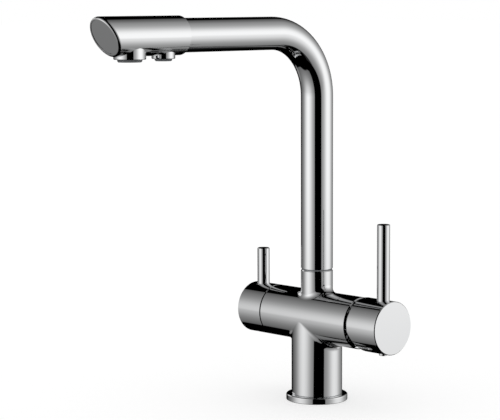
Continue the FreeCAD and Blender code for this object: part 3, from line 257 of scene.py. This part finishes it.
# Filter headwork: a quarter-turn ceramic valve in a turned brass body, screwed into the other end of
# the barrel, with its spindle, rubber seals and a steel clip that keeps the spindle in.
dress(BRASS, "headwork_body", "headwork_spindle")
dress(RUBBER, "headwork_seal", "headwork_seat_washer", "spindle_oring")
dress(CERAMIC, "headwork_fixed_disc", "headwork_moving_disc")
dress(STEEL, "spindle_clip")

# Foot of the spout: a brass connector that turns in the neck on two O-rings, a thin plastic slip
# ring in the joint line, and a small screw at the back of the neck that keeps the spout in.
dress(BRASS, "spout_connector")
dress(RUBBER, "spout_orings")
dress(HOUSING_PLASTIC, "spout_slip_ring")
dress(STEEL, "spout_retaining_screw")

# Spout tube: drawn brass tube, bent once on a mandrel, polished and plated. It is truer than the
# casting, so its mirror is cleaner.
dress(chrome_plate("tube chrome", clear=0.03, spread=0.025, patch_scale=22.0, swell=0.000002), "spout_tube")

# Filtered-water tube: a food-grade hose up the middle of the spout, pushed into a small brass nipple
# with two O-rings, so that filtered and unfiltered water never meet.
HOSE = plain_finish(
    "food-grade hose", colour=(0.80, 0.85, 0.90), other=(0.74, 0.80, 0.86), cloud_scale=40.0,
    grain_scale=800.0, roughness=0.30, spread=0.10, depth=0.00001)
dress(HOSE, "filter_water_tube")
dress(BRASS, "filter_tube_nipple")
dress(RUBBER, "nipple_orings")

# Spout head: a thicker chromed sleeve over the tube's end, cut off at a slant, with an inset end cap
# and, inside, a moulded block with one way for each kind of water. The slanted rim is bevelled and
# then rounded over on the mop, so the sleeve is drawn here with that rim.
SLEEVE_RADIUS = 0.016
SLEEVE_BORE = 0.01405
SLEEVE_START = 0.1585
SLEEVE_CHAMFER = 0.0005
SLEEVE_WALL = 0.0004
HEAD_AXIS = 0.3225
SLANT_REACH = 0.236457
SLANT = math.tan(math.radians(28.0))
CAP_BORE = 0.01335
CAP_LIP = 0.0012
BEVEL_ALONG = 0.0024
BEVEL_ALONG_SWING = 0.0011
BEVEL_ACROSS = 0.0020
BEVEL_ACROSS_SWING = 0.0005
BEVEL_SIDE_PULL = 0.15
BEVEL_PLANE_PULL = 0.62
HOLE_GAP = 0.00005
SLEEVE_COLUMNS = 216
SLEEVE_ROWS = 84
BEVEL_ROWS = 14
SHARP_FROM = math.radians(30.0)


def grid_faces(rows, columns, closed):
    """Quads over a grid of points, rows by columns, joined round the columns if closed."""
    index = np.arange(rows * columns).reshape(rows, columns)
    right = np.roll(index, -1, axis=1)
    if not closed:
        index, right = index[:, :-1], right[:, :-1]
    return np.stack([index[:-1], right[:-1], right[1:], index[1:]], axis=-1).reshape(-1, 4)


def new_piece(name, places, faces):
    """An object from an array of places and an array of quads."""
    mesh = bpy.data.meshes.new(name)
    mesh.from_pydata(places.tolist(), [], faces.tolist())
    piece = bpy.data.objects.new(name, mesh)
    bpy.context.scene.collection.objects.link(piece)
    return piece


def sleeve_skin():
    """For each angle t round the axis, a profile of (reach, radius): start face, chamfer, straight side
    up to the bevel, a cubic curve over the corner of the side and the slanted plane
    reach = SLANT_REACH + radius x sin t x SLANT, the plane itself, and a short lip into the bore.
    The bevel takes BEVEL_ALONG + its swing x sin t from the side and the same of BEVEL_ACROSS from the
    plane. No angle is straight down, where the outlets' middles are."""
    turn = (np.arange(SLEEVE_COLUMNS) + 0.5) / SLEEVE_COLUMNS * 2 * math.pi
    rises = np.sin(turn) * SLANT
    along = BEVEL_ALONG + BEVEL_ALONG_SWING * np.sin(turn)
    across = BEVEL_ACROSS + BEVEL_ACROSS_SWING * np.sin(turn)
    level = np.ones_like(turn)
    corner = np.array([SLANT_REACH + SLEEVE_RADIUS * rises, SLEEVE_RADIUS * level])
    side_end = np.array([corner[0] - along, SLEEVE_RADIUS * level])
    plane_start = np.array([SLANT_REACH + (SLEEVE_RADIUS - across) * rises, SLEEVE_RADIUS - across])
    first = side_end + BEVEL_SIDE_PULL * (corner - side_end)
    second = plane_start + BEVEL_PLANE_PULL * (corner - plane_start)
    side_start = np.array([(SLEEVE_START + SLEEVE_CHAMFER) * level, SLEEVE_RADIUS * level])
    side = [side_start + share * (side_end - side_start) for share in np.linspace(0, 1, SLEEVE_ROWS)]
    bevel = [(1 - t) ** 3 * side_end + 3 * t * (1 - t) ** 2 * first + 3 * t ** 2 * (1 - t) * second
             + t ** 3 * plane_start for t in np.linspace(0, 1, BEVEL_ROWS)[1:]]
    mouth = np.array([SLANT_REACH + CAP_BORE * rises, CAP_BORE * level])
    profile = np.array(
        [[SLEEVE_START * level, SLEEVE_BORE * level],
         [SLEEVE_START * level, (SLEEVE_RADIUS - SLEEVE_CHAMFER) * level]]
        + side + bevel + [mouth, mouth - [[CAP_LIP], [0.0]]])
    reach, radius = profile[:, 0], profile[:, 1]
    points = np.stack([radius * np.cos(turn), -reach, HEAD_AXIS + radius * np.sin(turn)], axis=-1)
    return points.reshape(-1, 3), grid_faces(len(profile), SLEEVE_COLUMNS, closed=True)


def open_hole(places, faces, collar):
    """Leave out the quads inside a collar's circle and move their outer corners onto that circle, at the
    height of the side, HEAD_AXIS - sqrt(SLEEVE_RADIUS^2 - x^2)."""
    low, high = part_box(collar)
    radius = (high[0] - low[0]) / 2 + HOLE_GAP
    middle = (low[1] + high[1]) / 2
    away = np.hypot(places[:, 0], places[:, 1] - middle)
    inside = (away < radius) & (places[:, 2] < HEAD_AXIS)
    stretch = radius / away[inside]
    sideways = places[inside, 0] * stretch
    places[inside, 0] = sideways
    places[inside, 1] = middle + (places[inside, 1] - middle) * stretch
    places[inside, 2] = HEAD_AXIS - np.sqrt(SLEEVE_RADIUS ** 2 - sideways ** 2)
    return faces[~inside[faces].all(axis=1)]


def with_wall(places, faces, wall):
    """The skin, a copy moved inwards by the wall along its normals, and quads that join their edges."""
    used, faces = np.unique(faces, return_inverse=True)
    places, faces = places[used], faces.reshape(-1, 4)
    facing = np.cross(places[faces[:, 2]] - places[faces[:, 0]], places[faces[:, 3]] - places[faces[:, 1]])
    normals = np.zeros_like(places)
    for corner in range(4):
        np.add.at(normals, faces[:, corner], facing)
    normals /= np.linalg.norm(normals, axis=1, keepdims=True)
    edges = np.concatenate([faces[:, [corner, (corner + 1) % 4]] for corner in range(4)])
    _, first_seen, times_seen = np.unique(
        np.sort(edges, axis=1), axis=0, return_index=True, return_counts=True)
    rim = edges[first_seen[times_seen == 1]]
    copy = len(places)
    joins = np.stack([rim[:, 1], rim[:, 0], rim[:, 0] + copy, rim[:, 1] + copy], axis=1)
    return (np.concatenate([places, places - wall * normals]),
            np.concatenate([faces, faces[:, ::-1] + copy, joins]))


HEAD_CHROME = chrome_plate("head chrome", clear=0.03, spread=0.03, patch_scale=30.0, swell=0.000002)
skin, skin_faces = sleeve_skin()
for collar in ("main_outlet_collar", "filter_outlet_collar"):
    skin_faces = open_hole(skin, skin_faces, collar)
sleeve = new_piece("bevelled_head_sleeve", *with_wall(skin, skin_faces, SLEEVE_WALL))
sleeve.data.polygons.foreach_set("use_smooth", np.ones(len(sleeve.data.polygons), dtype=bool))
sleeve.data.set_sharp_from_angle(angle=SHARP_FROM)
sleeve.data.materials.append(HEAD_CHROME)
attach(sleeve, "spout")
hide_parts("head_sleeve")
dress(HEAD_CHROME, "head_end_cap")
dress(ACETAL, "outlet_block")

# Two outlets under the head: a chromed collar each, and a screwed-in plastic aerator housing with its
# washer and its insert of fine straight jets.
AERATOR_PLASTIC = plain_finish(
    "aerator plastic", colour=(0.18, 0.19, 0.20), other=(0.16, 0.168, 0.176), cloud_scale=160.0,
    grain_scale=2400.0, roughness=0.42, spread=0.12, depth=0.00001)
dress(HEAD_CHROME, "main_outlet_collar", "filter_outlet_collar")
dress(AERATOR_PLASTIC, "main_aerator_housing", "filter_aerator_housing")
dress(ACETAL, "main_aerator_insert", "filter_aerator_insert")
dress(RUBBER, "main_aerator_washer", "filter_aerator_washer")

# Handles: turned brass drums with a screwed-in round lever pin each, plated like the body. A set
# screw under a push-in plug holds each on its stem.
HANDLE_CHROME = chrome_plate("handle chrome", clear=0.03, spread=0.03, patch_scale=40.0, swell=0.000002)
dress(HANDLE_CHROME, "mixer_handle", "mixer_lever_pin", "mixer_screw_plug",
      "filter_handle", "filter_lever_pin", "filter_screw_plug")
dress(STEEL, "mixer_grub_screw", "filter_grub_screw")

# Camera: a long lens a good metre and a half away, a little above the spout, aimed so that the
# photograph's frame needs no lens shift.
PHOTO_WIDTH = 500.0
FOCAL_PIXELS = 1893.52
SENSOR = 36.0
CLIP_END = 200.0
CAMERA_PLACE = (1.15801, -1.17066, 0.35278)
CAMERA_RIGHT = (0.68579689, 0.72778393, -0.00363124)
CAMERA_UP = (-0.07876036, 0.07917479, 0.99374451)
CAMERA_BACK = (0.72351879, -0.68122089, 0.11161835)

lens = bpy.data.cameras.new("photograph camera")
lens.sensor_width = SENSOR
lens.lens = FOCAL_PIXELS / PHOTO_WIDTH * SENSOR
lens.clip_end = CLIP_END
camera = bpy.data.objects.new("photograph camera", lens)
pose = np.eye(4)
pose[:3] = np.array([CAMERA_RIGHT, CAMERA_UP, CAMERA_BACK, CAMERA_PLACE]).T
camera.matrix_world = Matrix(pose.tolist())
bpy.context.scene.collection.objects.link(camera)
bpy.context.scene.camera = camera

# Light tent: two large soft lights, left and right of the camera, each brightest in its middle, and
# three small ones at the sides and behind, with black card between them all, overhead and underfoot.
# Polished metal shows nothing else.
TENT_RADIUS = 60.0
TENT_COLUMNS = 96
TENT_ROWS = 49
BEARING = math.radians(-49.09)
LEFT_LIGHT = {"azimuth": -61.0, "elevation": -1.0, "upper": 2.3, "lower": 1.9, "below": 0.0,
              "stops": [(0, 1.34), (9, 1.22), (15, 1.09), (21, 0.96), (28, 0.75), (37, 0.52), (45, 0.38),
                        (52, 0.30), (60, 0.235), (70, 0.145), (79, 0.06), (88, 0.0)]}
RIGHT_LIGHT = {"azimuth": 92.0, "elevation": 1.0, "upper": 4.0, "lower": 1.5, "below": 0.15,
               "stops": [(0, 1.34), (10, 1.30), (18, 1.16), (26, 0.92), (34, 0.69), (43, 0.50), (52, 0.40),
                         (58, 0.34), (64, 0.24), (70, 0.17), (75, 0.12), (78, 0.0)]}
SIDE_HIGH = {"azimuth": -131.0, "elevation": 19.0, "stops": [(0, 1.0), (13, 0.9), (18, 0.0)]}
SIDE_LOW = {"azimuth": -131.0, "elevation": -25.0, "stops": [(0, 0.36), (9, 0.3), (12, 0.0)]}
BACK_LOW = {"azimuth": 139.0, "elevation": -26.0, "stops": [(0, 0.9), (10, 0.8), (13, 0.0)]}
FRONT_CARD = (-12.0, 36.2)
UNDERFOOT = -57.0
CARD_EDGE = 1.2
LIGHT_EDGE = 0.02
LOW_DIMMING = {"dark_at": -0.2, "light_at": -0.08, "dark": 0.84}
DIFFUSE_LEVEL = 0.95


def shell(name, points, closed):
    """A sheet over a grid of points, rows by columns, joined round the columns if closed."""
    return new_piece(name, points.reshape(-1, 3), grid_faces(*points.shape[:2], closed))


def toward(azimuth, elevation):
    """The unit vector at an azimuth counted from BEARING and an elevation, both in degrees."""
    azimuth = BEARING + math.radians(azimuth)
    level = math.cos(math.radians(elevation))
    return (level * math.cos(azimuth), level * math.sin(azimuth), math.sin(math.radians(elevation)))


def tent_material():
    """Emission by direction from the tap: the brightest of the lights, times the black cards' masks.
    A light's stops are (degrees from its middle, strength). Its upper and lower card edges are planes
    with those slopes, and below is the share of light that passes under the lower one."""
    material = bpy.data.materials.new("light tent")
    material.use_nodes = True
    material.cycles.emission_sampling = "NONE"
    nodes, link = material.node_tree.nodes, material.node_tree.links.new
    nodes.clear()

    def sums(operation, *values):
        node = nodes.new("ShaderNodeMath")
        node.operation = operation
        for socket, value in zip(node.inputs, values):
            if isinstance(value, (int, float)):
                socket.default_value = value
            else:
                link(value, socket)
        return node.outputs["Value"]

    def along(direction):
        dot = nodes.new("ShaderNodeVectorMath")
        dot.operation = "DOT_PRODUCT"
        dot.inputs[1].default_value = direction
        link(ray.outputs["Vector"], dot.inputs[0])
        return dot.outputs["Value"]

    def edge(value, dark_at, light_at, dark=0.0):
        return rise(nodes, link, value, dark_at, light_at, "SMOOTHSTEP", dark)

    place = nodes.new("ShaderNodeTexCoord")
    ray = nodes.new("ShaderNodeVectorMath")
    ray.operation = "NORMALIZE"
    link(place.outputs["Object"], ray.inputs[0])
    height = along((0.0, 0.0, 1.0))
    bearing = sums("ARCTAN2", along(toward(90.0, 0.0)), along(toward(0.0, 0.0)))
    bearing = sums("MULTIPLY", bearing, 180.0 / math.pi)
    left = edge(bearing, FRONT_CARD[0] + CARD_EDGE, FRONT_CARD[0] - CARD_EDGE)
    right = edge(bearing, FRONT_CARD[1] - CARD_EDGE, FRONT_CARD[1] + CARD_EDGE)
    beside_card = sums("MAXIMUM", left, right)
    glow = 0.0
    for light in (LEFT_LIGHT, RIGHT_LIGHT, SIDE_HIGH, SIDE_LOW, BACK_LOW):
        angle = sums("ARCCOSINE", along(toward(light["azimuth"], light["elevation"])))
        ramp = nodes.new("ShaderNodeValToRGB")
        stops = ramp.color_ramp.elements
        while len(stops) < len(light["stops"]):
            stops.new(0.5)
        for stop, (degrees, strength) in zip(stops, light["stops"]):
            stop.position = degrees / 180.0
            stop.color = (strength, strength, strength, 1.0)
        link(sums("DIVIDE", angle, math.pi), ramp.inputs["Fac"])
        here = ramp.outputs["Color"]
        if "upper" in light:
            ahead = along(toward(light["azimuth"], 0.0))
            over = sums("SUBTRACT", height, sums("MULTIPLY", ahead, light["upper"]))
            under = sums("ADD", height, sums("MULTIPLY", ahead, light["lower"]))
            here = sums("MULTIPLY", here, edge(over, LIGHT_EDGE, -LIGHT_EDGE))
            here = sums("MULTIPLY", here, edge(under, -LIGHT_EDGE, LIGHT_EDGE, light["below"]))
            here = sums("MULTIPLY", here, beside_card)
        glow = sums("MAXIMUM", glow, here)
    low = math.sin(math.radians(UNDERFOOT))
    glow = sums("MULTIPLY", glow, edge(height, low - LIGHT_EDGE, low + LIGHT_EDGE))
    glow = sums("MULTIPLY", glow, edge(height, **LOW_DIMMING))
    path = nodes.new("ShaderNodeLightPath")
    soft = sums("MULTIPLY", path.outputs["Is Diffuse Ray"], DIFFUSE_LEVEL)
    sharp = sums("MULTIPLY", glow, sums("SUBTRACT", 1.0, path.outputs["Is Diffuse Ray"]))
    emission = nodes.new("ShaderNodeEmission")
    link(sums("ADD", soft, sharp), emission.inputs["Strength"])
    out = nodes.new("ShaderNodeOutputMaterial")
    link(emission.outputs["Emission"], out.inputs["Surface"])
    return material


around, upward = np.meshgrid(np.linspace(0, 2 * math.pi, TENT_COLUMNS, endpoint=False),
                             np.linspace(-math.pi / 2, math.pi / 2, TENT_ROWS))
tent = shell("studio_tent", TENT_RADIUS * np.stack(
    [np.cos(upward) * np.cos(around), np.cos(upward) * np.sin(around), np.sin(upward)], axis=-1), closed=True)
tent.data.materials.append(tent_material())
tent.visible_camera = False
tent.visible_shadow = False

# Floor and surroundings: matt white paper under the tap, which keeps a faint contact shadow, and a
# plain white world that the camera sees past its edge.
WHITE = (1.0, 1.0, 1.0, 1.0)
PAPER_HALF = 20.0
PAPER_COLOUR = (0.5, 0.5, 0.5, 1.0)
PAPER_ROUGHNESS = 0.9
PAPER_GLOW = 0.54

paper_x, paper_y = np.meshgrid([-PAPER_HALF, PAPER_HALF], [-PAPER_HALF, PAPER_HALF])
floor = shell("studio_floor", np.stack([paper_x, paper_y, np.zeros_like(paper_x)], axis=-1), closed=False)
paper, paper_shader, paper_nodes, paper_link = principled("white paper", PAPER_ROUGHNESS, metallic=0.0)
paper_shader.inputs["Base Color"].default_value = PAPER_COLOUR
paper_shader.inputs["Specular IOR Level"].default_value = 0.0
paper_shader.inputs["Emission Color"].default_value = WHITE
seen = paper_nodes.new("ShaderNodeLightPath")
paper_glow = paper_nodes.new("ShaderNodeMath")
paper_glow.operation = "MULTIPLY"
paper_glow.inputs[1].default_value = PAPER_GLOW
paper_link(seen.outputs["Is Camera Ray"], paper_glow.inputs[0])
paper_link(paper_glow.outputs["Value"], paper_shader.inputs["Emission Strength"])
floor.data.materials.append(paper)
floor.visible_glossy = False

world = bpy.data.worlds.new("white surroundings")
bpy.context.scene.world = world
world.use_nodes = True
world.node_tree.nodes["Background"].inputs["Color"].default_value = WHITE
world.node_tree.nodes["Background"].inputs["Strength"].default_value = 1.0
bpy.context.scene.view_settings.view_transform = "Standard"
